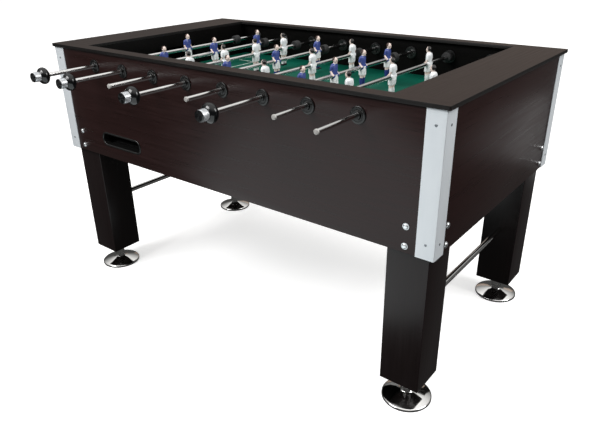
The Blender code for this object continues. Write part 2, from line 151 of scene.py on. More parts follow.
def grained_melamine(name, along, dark, light, smooth, rough):
    """Melamine-faced fibreboard with a printed wood grain, pressed on a satin plate.

    The eye gets fine dark and brown streaks along the board under an even satin sheen,
    with the pores just felt in the surface.
    """
    material, tree, shader = start_material(name, {"Specular IOR Level": 0.30})
    axis = "XYZ".index(along)
    streak = [0.007] * 3
    streak[axis] = 0.22
    pore = [0.0016] * 3
    pore[axis] = 0.030
    streaks = stretched_noise(tree, streak, 5.0, 0.6)
    pores = stretched_noise(tree, pore, 2.0)
    both = add(tree, "ShaderNodeMath", {1: 0.45}, {0: pores, 2: streaks},
               operation="MULTIPLY_ADD")
    spread = add(tree, "ShaderNodeMapRange", {"From Min": 0.50, "From Max": 0.95}, {"Value": both})
    vary_colour(tree, shader, spread, dark, light)
    vary_roughness(tree, shader, streaks, smooth, rough)
    emboss(tree, shader, pores, 0.015 * MM)
    return material


def finish(name, values, tone, colours, roughness, grain=None, depth=0.0, brushed=False):
    """A finish with a soft tone in its colour and shine, and a relief of a depth in metres.

    The tone and the grain are each sizes in metres along X, Y and Z, and a detail. The relief
    follows the grain, or the tone where there is none, and on brushed metal the shine follows
    the grain too.
    """
    material, tree, shader = start_material(name, values)
    cloud = stretched_noise(tree, *tone)
    texture = stretched_noise(tree, *grain) if grain else cloud
    vary_colour(tree, shader, cloud, *colours)
    vary_roughness(tree, shader, texture if brushed else cloud, *roughness)
    if depth:
        emboss(tree, shader, texture, depth)
    return material


def chrome_plate(name, smooth, rough):
    """Chrome plate on steel: a bright mirror with the faint smears that hands leave."""
    return finish(name, {"Metallic": 1.0}, ((0.020, 0.060, 0.020), 3.0), ("#dcdbda", "#ececeb"),
                  (smooth, rough))


def zinc_plate(name, dark, light, smooth, rough):
    """Zinc on bolts and screws: silver or grey with a slightly mottled, soft shine."""
    return finish(name, {"Metallic": 1.0}, ([0.0015] * 3, 3.0), (dark, light), (smooth, rough))


def moulded_plastic(name, dark, light, smooth, rough, grain, depth):
    """A moulded plastic or rubber with a mould texture of the given grain and depth."""
    return finish(name, {"Specular IOR Level": 0.5}, ([0.008] * 3, 3.0), (dark, light),
                  (smooth, rough), ([grain] * 3, 2.0), depth)


def printed_field():
    """Green field print on board: even deep green with a fine mottle and a soft shine."""
    material, tree, shader = start_material(
        "printed_green_field", {"Specular IOR Level": 0.2})
    mottle = stretched_noise(tree, [0.004] * 3, 4.0)
    cloud = stretched_noise(tree, [0.15] * 3, 2.0)
    both = add(tree, "ShaderNodeMath", {1: 0.4}, {0: mottle, 2: cloud}, operation="MULTIPLY_ADD")
    spread = add(tree, "ShaderNodeMapRange", {"From Min": 0.50, "From Max": 0.90}, {"Value": both})
    vary_colour(tree, shader, spread, "#00493a", "#005846")
    vary_roughness(tree, shader, cloud, 0.38, 0.50)
    emboss(tree, shader, mottle, 0.02 * MM)
    return material


def field_print_white():
    """White field lines: screen ink a little worn by the ball, so the green shows faintly."""
    material, tree, shader = start_material("white_field_ink", {"Roughness": 0.45})
    wear = stretched_noise(tree, [0.006] * 3, 5.0)
    spread = add(tree, "ShaderNodeMapRange", {"From Min": 0.30, "From Max": 0.55}, {"Value": wear})
    vary_colour(tree, shader, spread, "#9dbcae", "#e6ebe7")
    return material


def player_paint(name, dark, light):
    """Enamel on a moulded plastic man: soft gloss, deeper in colour where it pooled."""
    return finish(name, {"Coat Weight": 0.3, "Coat Roughness": 0.15, "Specular IOR Level": 0.45},
                  ([0.004] * 3, 3.0), (dark, light), (0.35, 0.50), depth=0.15 * MM)


# ---------- shapes

def rounded_box(low, high, radius, steps=2):
    shape = plain_box(low, high)
    bmesh.ops.bevel(shape, geom=shape.edges[:], offset=radius, segments=steps, profile=0.5,
                    affect="EDGES")
    return shape


def plain_box(low, high):
    low, high = Vector(low), Vector(high)
    shape = bmesh.new()
    stretch = Matrix.Diagonal((*(high - low), 1.0))
    bmesh.ops.create_cube(shape, size=1.0, matrix=Matrix.Translation((low + high) / 2) @ stretch)
    return shape


def mm(*points):
    """Points given in millimetres."""
    return [tuple(value * MM for value in point) for point in points]


def turned(profile, steps=48):
    """Turn a profile of radius and height about Z. A ring's profile ends where it starts."""
    shape = bmesh.new()
    points = [shape.verts.new((radius, 0, height)) for radius, height in profile]
    edges = [shape.edges.new(pair) for pair in zip(points, points[1:])]
    bmesh.ops.spin(shape, geom=points + edges, axis=(0, 0, 1), cent=(0, 0, 0),
                   angle=math.tau, steps=steps)
    bmesh.ops.remove_doubles(shape, verts=shape.verts, dist=WELD)
    bmesh.ops.recalc_face_normals(shape, faces=shape.faces)
    return shape


def post(radius, start, end, steps=48):
    """A plain round bar along Z."""
    return turned([(0, start), (radius, start), (radius, end), (0, end)], steps)


def eased_post(radius, start, end, edge):
    """A round bar along Z with its two edges taken off."""
    return turned([(0, start), (radius - edge, start), (radius, start + edge),
                   (radius, end - edge), (radius - edge, end), (0, end)])


def prism(outline, low, high):
    """Raise a flat outline of X and Y from one height to another."""
    shape = bmesh.new()
    face = shape.faces.new([shape.verts.new((x, y, low)) for x, y in outline])
    raised = bmesh.ops.extrude_face_region(shape, geom=[face])["geom"]
    rise = [item for item in raised if isinstance(item, bmesh.types.BMVert)]
    bmesh.ops.translate(shape, verts=rise, vec=(0, 0, high - low))
    bmesh.ops.recalc_face_normals(shape, faces=shape.faces)
    return shape


def arc(centre, radius, start, end, steps):
    """Points of X and Y along an arc, with its angles in degrees."""
    turns = [math.radians(start + (end - start) * i / steps) for i in range(steps + 1)]
    return [(centre[0] + radius * math.cos(a), centre[1] + radius * math.sin(a)) for a in turns]


def stadium(length, depth, steps=24):
    """Outline of a slot with round ends."""
    reach = (length - depth) / 2
    return arc((reach, 0), depth / 2, -90, 90, steps) + arc((-reach, 0), depth / 2, 90, 270, steps)


def loft(rings, closed=False):
    """Skin a row of closed rings of points, and close its two ends or join them."""
    shape = bmesh.new()
    rows = [[shape.verts.new(point) for point in ring] for ring in rings]
    for one, two in zip(rows, rows[1:] + rows[:1] if closed else rows[1:]):
        for i in range(len(one)):
            j = (i + 1) % len(one)
            shape.faces.new((one[i], one[j], two[j], two[i]))
    if not closed:
        shape.faces.new(rows[0])
        shape.faces.new(rows[-1])
    bmesh.ops.recalc_face_normals(shape, faces=shape.faces)
    return shape


def moved(shape, *steps):
    """Apply matrices to a shape, the first one first."""
    for step in steps:
        shape.transform(step)
    return shape


def lay_along_y(direction):
    """Turn that lays a shape made along +Z down along +Y or -Y."""
    return Matrix.Rotation(-QUARTER * direction, 4, "X")


def mesh_of(name, *shapes, sharp=32):
    """One mesh of the shapes, shaded smooth except over edges sharper than an angle."""
    whole = bmesh.new()
    for shape in shapes:
        part = bpy.data.meshes.new(name)
        shape.to_mesh(part)
        shape.free()
        whole.from_mesh(part)
        bpy.data.meshes.remove(part)
    mesh = bpy.data.meshes.new(name)
    whole.to_mesh(mesh)
    whole.free()
    return shade(mesh, sharp)


def joined(name, meshes):
    """One mesh of several, with their materials left out."""
    whole = bmesh.new()
    for mesh in meshes:
        whole.from_mesh(mesh)
        bpy.data.meshes.remove(mesh)
    return mesh_of(name, whole)


def shade(mesh, sharp=32):
    mesh.shade_smooth()
    mesh.set_sharp_from_angle(angle=math.radians(sharp))
    return mesh


def hold(name, mesh):
    """A working object that is removed before the end."""
    holder = bpy.data.objects.new(name, mesh)
    bpy.context.scene.collection.objects.link(holder)
    return holder


def settle(holder):
    """The plain mesh that an object's modifiers give it. The object is removed."""
    seen = holder.evaluated_get(bpy.context.evaluated_depsgraph_get())
    mesh = bpy.data.meshes.new_from_object(seen)
    mesh.name = holder.name
    bpy.data.objects.remove(holder)
    return mesh


def combined(name, body, *steps):
    """The mesh of a shape after Boolean steps, each an operation and the shape of its cutter."""
    holder = hold(name, mesh_of(name, body))
    cutters = []
    for operation, shape in steps:
        cutter = hold(name + "_cutter", mesh_of("cutter", shape))
        cutters.append(cutter)
        step = holder.modifiers.new(operation, "BOOLEAN")
        step.operation = operation
        step.solver = "EXACT"
        step.object = cutter
    result = settle(holder)
    for cutter in cutters:
        bpy.data.objects.remove(cutter)
    return shade(result)


def place(name, mesh, body, slot, materials, replaced=()):
    """Make a mesh a piece of the table, on its body and with its materials; its slot is not used."""
    piece = hold(name, mesh)
    for material in materials:
        mesh.materials.append(material)
    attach(piece, body)
    if replaced:
        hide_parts(*replaced)
    return piece


# ---------- Geometry Nodes

def start_tree(name, inputs):
    """A Geometry Nodes tree with named inputs, each a name and a kind of socket."""
    tree = bpy.data.node_groups.new(name, "GeometryNodeTree")
    for label, kind in inputs:
        tree.interface.new_socket(label, in_out="INPUT", socket_type="NodeSocket" + kind)
    tree.interface.new_socket("Geometry", in_out="OUTPUT", socket_type="NodeSocketGeometry")
    return tree, add(tree, "NodeGroupInput").outputs


def grow(name, tree, values):
    """Run a tree with values for its named inputs, and keep its result as a plain mesh."""
    holder = hold(name, bpy.data.meshes.new(name))
    step = holder.modifiers.new(name, "NODES")
    step.node_group = tree
    for item in tree.interface.items_tree:
        if item.in_out == "INPUT":
            step[item.identifier] = values[item.name]
    return settle(holder)


def row_tree(name, finishes=("Material",)):
    """Copies of a part in a straight row, in one material or in one for each of its regions."""
    tree, given = start_tree(name, (
        ("Part", "Object"), ("Count", "Int"), ("First", "Vector"), ("Step", "Vector"),
        ("Turn", "Vector"), *((label, "Material") for label in finishes)))
    line = add(tree, "GeometryNodeMeshLine", links={
        "Count": given["Count"], "Start Location": given["First"], "Offset": given["Step"]})
    part = add(tree, "GeometryNodeObjectInfo", links={"Object": given["Part"]})
    copies = add(tree, "GeometryNodeInstanceOnPoints", links={
        "Points": line, "Instance": part.outputs["Geometry"], "Rotation": given["Turn"]})
    made = add(tree, "GeometryNodeRealizeInstances", links={"Geometry": copies})
    index = add(tree, "GeometryNodeInputMaterialIndex")
    for number, label in enumerate(finishes):
        links = {"Geometry": made, "Material": given[label]}
        if len(finishes) > 1:
            links["Selection"] = add(tree, "FunctionNodeCompare", {"B": number}, {"A": index},
                                     data_type="INT", operation="EQUAL")
        made = add(tree, "GeometryNodeSetMaterial", links=links)
    add(tree, "NodeGroupOutput", links={"Geometry": made})
    return tree


def ribs_tree():
    """Straight ribs round a sleeve that stands along Z."""
    tree, given = start_tree("ribs_round_a_sleeve", (
        ("Ribs", "Int"), ("Radius", "Float"), ("Size", "Vector"), ("Centre", "Vector"),
        ("Material", "Material")))
    ring = add(tree, "GeometryNodeMeshCircle", links={
        "Vertices": given["Ribs"], "Radius": given["Radius"]})
    bar = add(tree, "GeometryNodeMeshCube", links={"Size": given["Size"]})
    where = add(tree, "GeometryNodeInputPosition")
    outward = add(tree, "FunctionNodeAlignRotationToVector", links={"Vector": where}, axis="X")
    bars = add(tree, "GeometryNodeInstanceOnPoints", links={
        "Points": ring, "Instance": bar, "Rotation": outward})
    real = add(tree, "GeometryNodeRealizeInstances", links={"Geometry": bars})
    raised = add(tree, "GeometryNodeTransform", links={
        "Geometry": real, "Translation": given["Centre"]})
    made = add(tree, "GeometryNodeSetMaterial", links={
        "Geometry": raised, "Material": given["Material"]})
    add(tree, "NodeGroupOutput", links={"Geometry": made})
    return tree


# ---------- places from the frame

JOINTS = {joint["name"]: joint for joint in frame["joints"]}
OPENINGS = {space["name"]: space["box_m"] for space in frame["record"]["physics"]["openings"]}


def rod_place(rod):
    """Where a rod's axis passes the middle of its men."""
    return Vector(JOINTS["rod_%d_spin" % rod]["pos_m"])


def slot_place(side):
    """Middle of the ball slot on one side, at the middle of the table's width."""
    low, high = OPENINGS["front_ball_slot" if side < 0 else "back_ball_slot"]
    return Vector(((low[0] + high[0]) / 2, 0, (low[2] + high[2]) / 2))


RAIL_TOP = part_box("front_rail")[1].z
BOARD_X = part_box("right_end_panel")[1].x
BOARD_Y = BOARD_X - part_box("corner_trim_back_right")[1].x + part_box("corner_trim_back_right")[1].y
INNER_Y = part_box("right_end_panel")[1].y + GAP
FIELD_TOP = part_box("playfield")[1].z


# ---------- cabinet

BOARD_EDGE = 0.8 * MM
BEARING_HOLE = 12.0 * MM
SLOT_LENGTH = 0.200
SLOT_DEPTH = 0.043
BAND = 1.0 * MM
BAND_ROUND = 0.4 * MM
OUTER_CORNER = 4.0 * MM
RAIL_THICKNESS = 10.0 * MM
RAIL_EDGE = 0.25 * MM
INNER_CORNER = 1.5 * MM
GOAL_HALF_WIDTH = 0.100
GOAL_HEIGHT = 0.075
TRIM_WALL = 2.0 * MM
TRIM_WIDTH = 49.0 * MM
TRIM_ROUND = 2.0 * MM
CUT_REACH = 0.030


def line_inside(mesh, axis, side, inner_face):
    """Give a board's face towards the playing field the second material."""
    for face in mesh.polygons:
        turned_in = face.normal[axis] * side < -0.9
        face.material_index = int(turned_in and abs(face.center[axis] - inner_face) < BOARD_EDGE)


def side_panel(name, side):
    """Front or back board: holes for the rod bearings and for the ball return."""
    low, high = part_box(name)
    y_low, y_high = sorted((side * INNER_Y, side * BOARD_Y))
    middle = side * (INNER_Y + BOARD_Y) / 2
    board = rounded_box((low.x, y_low, low.z), (high.x, y_high, high.z), BOARD_EDGE)
    slot = prism(stadium(SLOT_LENGTH, SLOT_DEPTH), -CUT_REACH, CUT_REACH)
    moved(slot, Matrix.Rotation(QUARTER, 4, "X"),
          Matrix.Translation(slot_place(side) + Vector((0, middle, 0))))
    cuts = [slot]
    for rod in RODS:
        where = rod_place(rod)
        cuts.append(moved(post(BEARING_HOLE, -CUT_REACH, CUT_REACH), lay_along_y(1),
                          Matrix.Translation((where.x, middle, where.z))))
    board = combined(name, board, *(("DIFFERENCE", cut) for cut in cuts))
    line_inside(board, 1, side, side * INNER_Y)
    place(name + "_board", board, "cabinet", "dark_laminate", [LAMINATE_X, LINING], [name])


def end_panel(name, side):
    low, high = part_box(name)
    board = mesh_of(name, rounded_box(low, high, BOARD_EDGE))
    line_inside(board, 0, side, low.x if side > 0 else high.x)
    place(name + "_board", board, "cabinet", "dark_laminate", [LAMINATE_Y, LINING], [name])


def rounded_rectangle(half_x, half_y, radius, steps=6):
    outline = []
    for start, side_x, side_y in ((0, 1, 1), (90, -1, 1), (180, -1, -1), (270, 1, -1)):
        centre = (side_x * (half_x - radius), side_y * (half_y - radius))
        outline += arc(centre, radius, start, start + 90, steps)
    return outline


def band_ring(name, half_x, half_y, radius, side):
    """Edge band glued round the rails, on the inner side of its outline or the outer."""
    low = RAIL_TOP - RAIL_THICKNESS
    section = [(0, low + BAND_ROUND), (0, RAIL_TOP - BAND_ROUND),
               (0.3 * BAND_ROUND, RAIL_TOP - 0.3 * BAND_ROUND), (BAND_ROUND, RAIL_TOP),
               (BAND, RAIL_TOP), (BAND, low), (BAND_ROUND, low)]
    band = loft([[(x, y, height) for x, y in rounded_rectangle(
        half_x - side * depth, half_y - side * depth, radius - side * depth)]
        for depth, height in section], closed=True)
    place(name, mesh_of(name, band), "cabinet", "black_plastic", [EDGE_BAND])


def rails():
    """Four boards round the opening, with an edge band outside and one inside."""
    outer_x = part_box("front_rail")[1].x - BAND
    outer_y = -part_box("front_rail")[0].y - BAND
    inner_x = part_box("right_rail")[0].x + BAND
    inner_y = -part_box("front_rail")[1].y + BAND
    end_y = inner_y - GAP
    for name, board_finish, start, end in (
            ("front_rail", RAIL_X, (-outer_x, -outer_y), (outer_x, -inner_y)),
            ("back_rail", RAIL_X, (-outer_x, inner_y), (outer_x, outer_y)),
            ("left_rail", RAIL_Y, (-outer_x, -end_y), (-inner_x, end_y)),
            ("right_rail", RAIL_Y, (inner_x, -end_y), (outer_x, end_y))):
        low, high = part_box(name)
        board = mesh_of(name, rounded_box((*start, low.z), (*end, high.z), RAIL_EDGE, 1))
        place(name + "_board", board, "cabinet", "brown_laminate", [board_finish], [name])
    band_ring("rail_edge_band_outer", outer_x + BAND, outer_y + BAND, OUTER_CORNER, 1)
    band_ring("rail_edge_band_inner", inner_x - BAND, inner_y - BAND, INNER_CORNER, -1)


def goal_wall(name):
    """Black wall behind the field, with the goal mouth cut down to the field."""
    low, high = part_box(name)
    mouth = plain_box((low.x - CUT_REACH, -GOAL_HALF_WIDTH, FIELD_TOP),
                      (high.x + CUT_REACH, GOAL_HALF_WIDTH, FIELD_TOP + GOAL_HEIGHT))
    wall = combined(name, rounded_box(low, high, BOARD_EDGE), ("DIFFERENCE", mouth))
    place(name + "_board", wall, "cabinet", "black_lining", [LINING], [name])


def bottom_panel():
    """Cabinet floor, notched round the legs."""
    low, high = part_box("bottom_panel")
    room = Vector((GAP, GAP, 0))
    notches = []
    for corner, (side_x, side_y) in CORNERS.items():
        leg_low, leg_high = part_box("leg_" + corner)
        beyond = Vector((side_x, side_y, 0)) * CUT_REACH
        notches.append(plain_box([min(a, a + b) for a, b in zip(leg_low - room, beyond)],
                                 [max(a, a + b) for a, b in zip(leg_high + room, beyond)]))
    board = combined("bottom_panel", rounded_box(low, high, 0.5 * MM),
                     *(("DIFFERENCE", notch) for notch in notches))
    place("bottom_board", board, "cabinet", "black_lining", [LINING], ["bottom_panel"])


def corner_trim(corner):
    """Aluminium angle with a rounded corner and rounded edges."""
    side_x, side_y = CORNERS[corner]
    name = "corner_trim_" + corner
    low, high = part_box(name)
    tip_x = high.x if side_x > 0 else low.x
    tip_y = high.y if side_y > 0 else low.y
    ease = 0.5 * MM
    angle = [
        (-TRIM_WIDTH, -TRIM_WALL), *arc((-TRIM_WIDTH + ease, -ease), ease, 180, 90, 3),
        *arc((-TRIM_ROUND, -TRIM_ROUND), TRIM_ROUND, 90, 0, 6),
        *arc((-ease, -TRIM_WIDTH + ease), ease, 0, -90, 3), (-TRIM_WALL, -TRIM_WIDTH),
        (-TRIM_WALL, -TRIM_WALL),
    ]
    outline = [(tip_x + side_x * x, tip_y + side_y * y) for x, y in angle]
    trim = mesh_of(name, prism(outline, low.z, high.z))
    place(name + "_angle", trim, "cabinet", "aluminium", [ALUMINIUM], [name])


SCREW_FROM_EDGE = 24.0 * MM
SCREW_FROM_TOP = 36.0 * MM
SCREW_FROM_BOTTOM = 38.0 * MM
BOLT_X = 0.650
BOLT_END_SHIFT = -11.0 * MM
BOLT_RISE = 18.0 * MM
BOLT_SPACING = 52.0 * MM


def screw_head():
    """Small pan head with a cross recess, facing +Z."""
    head = turned(mm((0, 1.2), (1.6, 1.15), (2.8, 0.8), (3.4, 0.2), (3.5, -0.1), (0, -0.1)), 32)
    cross = [plain_box(*mm((-x, -y, 0.4), (x, y, 2))) for x, y in ((2.0, 0.45), (0.45, 2.0))]
    return combined("screw_head", head, *(("DIFFERENCE", arm) for arm in cross))


def bolt_head():
    """Domed bolt head on a washer, facing +Z."""
    washer = mm((0, -0.1), (8.6, -0.1), (8.8, 0.3), (8.5, 1.2), (7.2, 1.3))
    dome = [(7.2 * math.cos(math.radians(a)) * MM, (1.3 + 3.4 * math.sin(math.radians(a))) * MM)
            for a in range(0, 90, 10)]
    return mesh_of("bolt_head", turned([*washer, *dome, (0, 4.7 * MM)], 40))


def fastener_rows():
    """Screws in the corner trims and bolts into the legs, in upright rows of two."""
    screw = hold("screw_head", screw_head())
    bolt = hold("bolt_head", bolt_head())
    tree = row_tree("row_of_fasteners")
    screws = []
    bolts = []
    for corner, (side_x, side_y) in CORNERS.items():
        low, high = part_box("corner_trim_" + corner)
        tip = Vector((side_x * max(abs(low.x), abs(high.x)), side_y * max(abs(low.y), abs(high.y)),
                      low.z + SCREW_FROM_BOTTOM))
        rise = Vector((0, 0, high.z - low.z - SCREW_FROM_TOP - SCREW_FROM_BOTTOM))
        on_side = (side_y * -QUARTER, 0, 0)
        on_end = (0, side_x * QUARTER, 0)
        for turn, shift in ((on_side, (-side_x * SCREW_FROM_EDGE, 0, 0)),
                            (on_end, (0, -side_y * SCREW_FROM_EDGE, 0))):
            screws.append(grow("trim_screws", tree, {
                "Part": screw, "Count": 2, "First": tip + Vector(shift), "Step": rise,
                "Turn": turn, "Material": DULL_ZINC}))
        leg_low, leg_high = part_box("leg_" + corner)
        leg = (leg_low + leg_high) / 2
        step = Vector((0, 0, BOLT_SPACING))
        side_first = Vector((side_x * BOLT_X, side_y * BOARD_Y, low.z + BOLT_RISE))
        end_first = Vector((side_x * BOARD_X, leg.y - side_y * BOLT_END_SHIFT, low.z + BOLT_RISE))
        for turn, first in ((on_side, side_first), (on_end, end_first)):
            bolts.append(grow("leg_bolts", tree, {
                "Part": bolt, "Count": 2, "First": first, "Step": step, "Turn": turn,
                "Material": ZINC}))
    place("trim_screws", joined("trim_screws", screws), "cabinet", "chrome", [DULL_ZINC])
    place("leg_bolts", joined("leg_bolts", bolts), "cabinet", "chrome", [ZINC])
    bpy.data.objects.remove(screw)
    bpy.data.objects.remove(bolt)


# ---------- playing field

LINE_WIDTH = 4.0 * MM
LINE_HEIGHT = 0.12 * MM
CIRCLE_RADIUS = 0.100
AREA_FRONT = 0.400
AREA_HALF_WIDTH = 0.245


def playfield():
    low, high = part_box("playfield")
    board = mesh_of("playfield", rounded_box(low, high, 0.3 * MM, 1))
    place("field_board", board, "cabinet", "green_field", [FIELD], ["playfield"])


def field_lines():
    """Halfway line, centre circle and spot, and the two goal areas, as a thin layer of ink."""
    low = FIELD_TOP
    high = FIELD_TOP + LINE_HEIGHT
    half = LINE_WIDTH / 2
    reach_x, reach_y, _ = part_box("playfield")[1] - Vector((2 * MM, 2 * MM, 0))

    def strip(x_low, x_high, y_low, y_high):
        return plain_box((x_low - half, y_low - half, low), (x_high + half, y_high + half, high))

    inner, outer = CIRCLE_RADIUS - half, CIRCLE_RADIUS + half
    circle = turned([(inner, low), (outer, low), (outer, high), (inner, high), (inner, low)], 96)
    lines = [strip(0, 0, -reach_y, reach_y), post(2.4 * half, low, high), circle]
    for side in (-1, 1):
        front = side * AREA_FRONT
        near, far = sorted((front, side * reach_x))
        facing = 90 if side > 0 else -90
        bow = arc((front, 0), outer, facing, facing + 180, 32)
        bow += reversed(arc((front, 0), inner, facing, facing + 180, 32))
        lines += [strip(front, front, -AREA_HALF_WIDTH, AREA_HALF_WIDTH),
                  strip(near, far, -AREA_HALF_WIDTH, -AREA_HALF_WIDTH),
                  strip(near, far, AREA_HALF_WIDTH, AREA_HALF_WIDTH), prism(bow, low, high)]
    ink = combined("field_lines", lines[0], *(("UNION", line) for line in lines[1:]))
    place("field_lines", ink, "cabinet", "green_field", [FIELD_WHITE])


# ---------- ball returns

LIP = 3.0 * MM
COLLAR_WALL = 3.0 * MM
COLLAR_DEPTH = 20.0 * MM


def ball_return(name, side):
    """Catch pan and chute of moulded plastic, with a smooth rimmed collar in the slot."""
    solid = bmesh.new()
    solid.from_mesh(frame["nodes"][name].data)
    bmesh.ops.remove_doubles(solid, verts=solid.verts, dist=0.01 * MM)
    bmesh.ops.dissolve_limit(solid, angle_limit=math.radians(1), verts=solid.verts,
                             edges=solid.edges)
    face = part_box("corner_trim_back_left")[1].y
    old_low, old_high = sorted((side * (INNER_Y - GAP), side * 2 * face))
    old_collar = plain_box((-1, old_low, 0), (1, old_high, 1))

    def slot_shape(*rows):
        """Skin slots, each given by its growth over the board's slot and its place outwards."""
        shape = loft([[(x, y, face + outward) for x, y in stadium(SLOT_LENGTH + growth,
                                                                  SLOT_DEPTH + growth)]
                      for growth, outward in rows])
        return moved(shape, Matrix.Rotation(QUARTER * -side, 4, "X"),
                     Matrix.Translation(slot_place(side)))

    collar = slot_shape((-2 * GAP, -COLLAR_DEPTH), (-2 * GAP, -2 * MM), (2 * LIP, -2 * MM),
                        (2 * LIP, -0.8 * MM), (1.4 * LIP, 0), (-COLLAR_WALL, 0))
    mouth = slot_shape((-2 * COLLAR_WALL, -LIP - 2 * COLLAR_DEPTH), (-2 * COLLAR_WALL, -1.5 * MM),
                       (-COLLAR_WALL, 0.5 * MM))
    body = combined(name, solid, ("DIFFERENCE", old_collar), ("UNION", collar),
                    ("DIFFERENCE", mouth))
    place(name + "_chute", body, "cabinet", "black_plastic", [CHUTE_PLASTIC], [name])


# ---------- legs and feet

STEM_RADIUS = 6.0 * MM
THREAD_PITCH = 1.75 * MM
THREAD_DEPTH = 0.5 * MM
COLLAR_RADIUS = 16.5 * MM
COLLAR_RIBS = 36
LEG_EDGE = 1.5 * MM
SOCKET_ROOM = 0.7 * MM
SOCKET_DEPTH = 0.050


def leg(corner):
    """Square leg with eased edges and the threaded socket for its foot."""
    name = "leg_" + corner
    low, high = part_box(name)
    centre = (low + high) / 2
    socket = post(STEM_RADIUS + SOCKET_ROOM, -SOCKET_DEPTH, SOCKET_DEPTH, 32)
    moved(socket, Matrix.Translation((centre.x, centre.y, low.z)))
    square = combined(name, rounded_box(low, high, LEG_EDGE, 3), ("DIFFERENCE", socket))
    place(name + "_post", square, "cabinet", "dark_laminate", [LAMINATE_Z], [name])


def foot(corner, tree):
    """Chrome levelling foot: a low cone, a fluted collar and a threaded stem."""
    name = "foot_" + corner
    low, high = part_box(name)
    centre = (low + high) / 2
    leg_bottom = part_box("leg_" + corner)[0].z
    radius = (high.x - low.x) / 2
    collar_top = leg_bottom - GAP
    profile = [(0, high.z)]
    turns = int((high.z - leg_bottom) / THREAD_PITCH)
    for turn in range(turns):
        crest = high.z - (turn + 0.5) * THREAD_PITCH
        profile += [(STEM_RADIUS - THREAD_DEPTH, crest + THREAD_PITCH / 2), (STEM_RADIUS, crest)]
    core = COLLAR_RADIUS - 0.7 * MM
    profile += [
        (STEM_RADIUS, collar_top), (core - 1 * MM, collar_top), (core, collar_top - 1 * MM),
        (core, 27 * MM), (COLLAR_RADIUS, 26.5 * MM), (COLLAR_RADIUS + 0.5 * MM, 24 * MM),
        (COLLAR_RADIUS + 2.5 * MM, 22 * MM), (30 * MM, 18.8 * MM), (50 * MM, 13.2 * MM),
        (radius - 4 * MM, 9.2 * MM), (radius - 1.2 * MM, 7.8 * MM), (radius - 0.3 * MM, 6.8 * MM),
        (radius, 5.8 * MM), (radius, 1 * MM), (radius - 0.8 * MM, 0), (0, 0),
    ]
    disc = turned(profile, 64)
    height = collar_top - 29 * MM
    ribs = grow(name + "_ribs", tree, {
        "Ribs": COLLAR_RIBS, "Radius": core, "Size": (1.2 * MM, 1.5 * MM, height),
        "Centre": (0, 0, 28 * MM + height / 2), "Material": CHROME_FEET})
    fluting = bmesh.new()
    fluting.from_mesh(ribs)
    mesh = mesh_of(name, disc, fluting)
    mesh.transform(Matrix.Translation((centre.x, centre.y, 0)))
    place(name + "_levelling", mesh, name, "chrome", [CHROME_FEET], [name])


def brace(name):
    """Round chrome tie bar between two legs."""
    low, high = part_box(name)
    bar = eased_post((high.z - low.z) / 2, 0, high.y - low.y, 0.5 * MM)
    middle = (low + high) / 2
    moved(bar, lay_along_y(1), Matrix.Translation((middle.x, low.y, middle.z)))
    place(name + "_bar", mesh_of(name, bar), "cabinet", "chrome", [CHROME_FEET], [name])


# ---------- rods

ROD_RADIUS = 6.35 * MM
CAP_LENGTH = 5.0 * MM
CAP_RADIUS = 6.6 * MM
GRIP_LENGTH = 28.5 * MM
SLEEVE_LENGTH = 19.0 * MM
SLEEVE_RADIUS = 14.3 * MM
SLEEVE_RIBS = 48
ROD_SET_BACK = 3.0 * MM
BULB = mm((10.5, 0), (11.8, 0.5), (14.5, 1.3), (18.2, 3.2), (22.2, 6.6), (24.7, 10.8),
          (25.4, 15.0), (24.7, 19.0), (22.8, 22.6), (20.2, 25.2), (17.8, 26.8), (16.2, 27.6))


def bearing_shape():
    """Two-piece nylon bearing about Z: a ridged flange and nose outside, a flange inside."""
    inner = INNER_Y - BOARD_Y - 0.05 * MM
    outside = mm((6.9, 10), (9.9, 10), (10.6, 9.3), (10.9, 5.0), (11.6, 4.3), (13.4, 4.0),
                 (14.0, 3.2), (15.6, 3.2), (16.2, 4.0), (19.6, 4.0), (20.9, 3.3), (21.5, 2.0),
                 (21.5, 0.05), (11.8, 0.05))
    inside = [(radius, inner - depth) for radius, depth in mm(
        (11.8, 0), (21.5, 0), (21.5, 2.4), (20.6, 3.6), (19.2, 3.9), (9.0, 3.9), (6.9, 3.2))]
    return turned([*outside, *inside, outside[0]], 48)


def bearings():
    """A row of bearings in the front board and one in the back board."""
    tree = row_tree("row_of_bearings")
    part = hold("bearing", mesh_of("bearing", bearing_shape()))
    first = rod_place(1)
    step = rod_place(2) - first
    for label, side in (("front", -1), ("back", 1)):
        name = label + "_rod_bearings"
        row = grow(name, tree, {
            "Part": part, "Count": len(RODS), "First": (first.x, side * BOARD_Y, first.z),
            "Step": (step.x, 0, 0), "Turn": (-side * QUARTER, 0, 0), "Material": NYLON})
        place(name, row, "cabinet", "black_plastic", [])
    bpy.data.objects.remove(part)


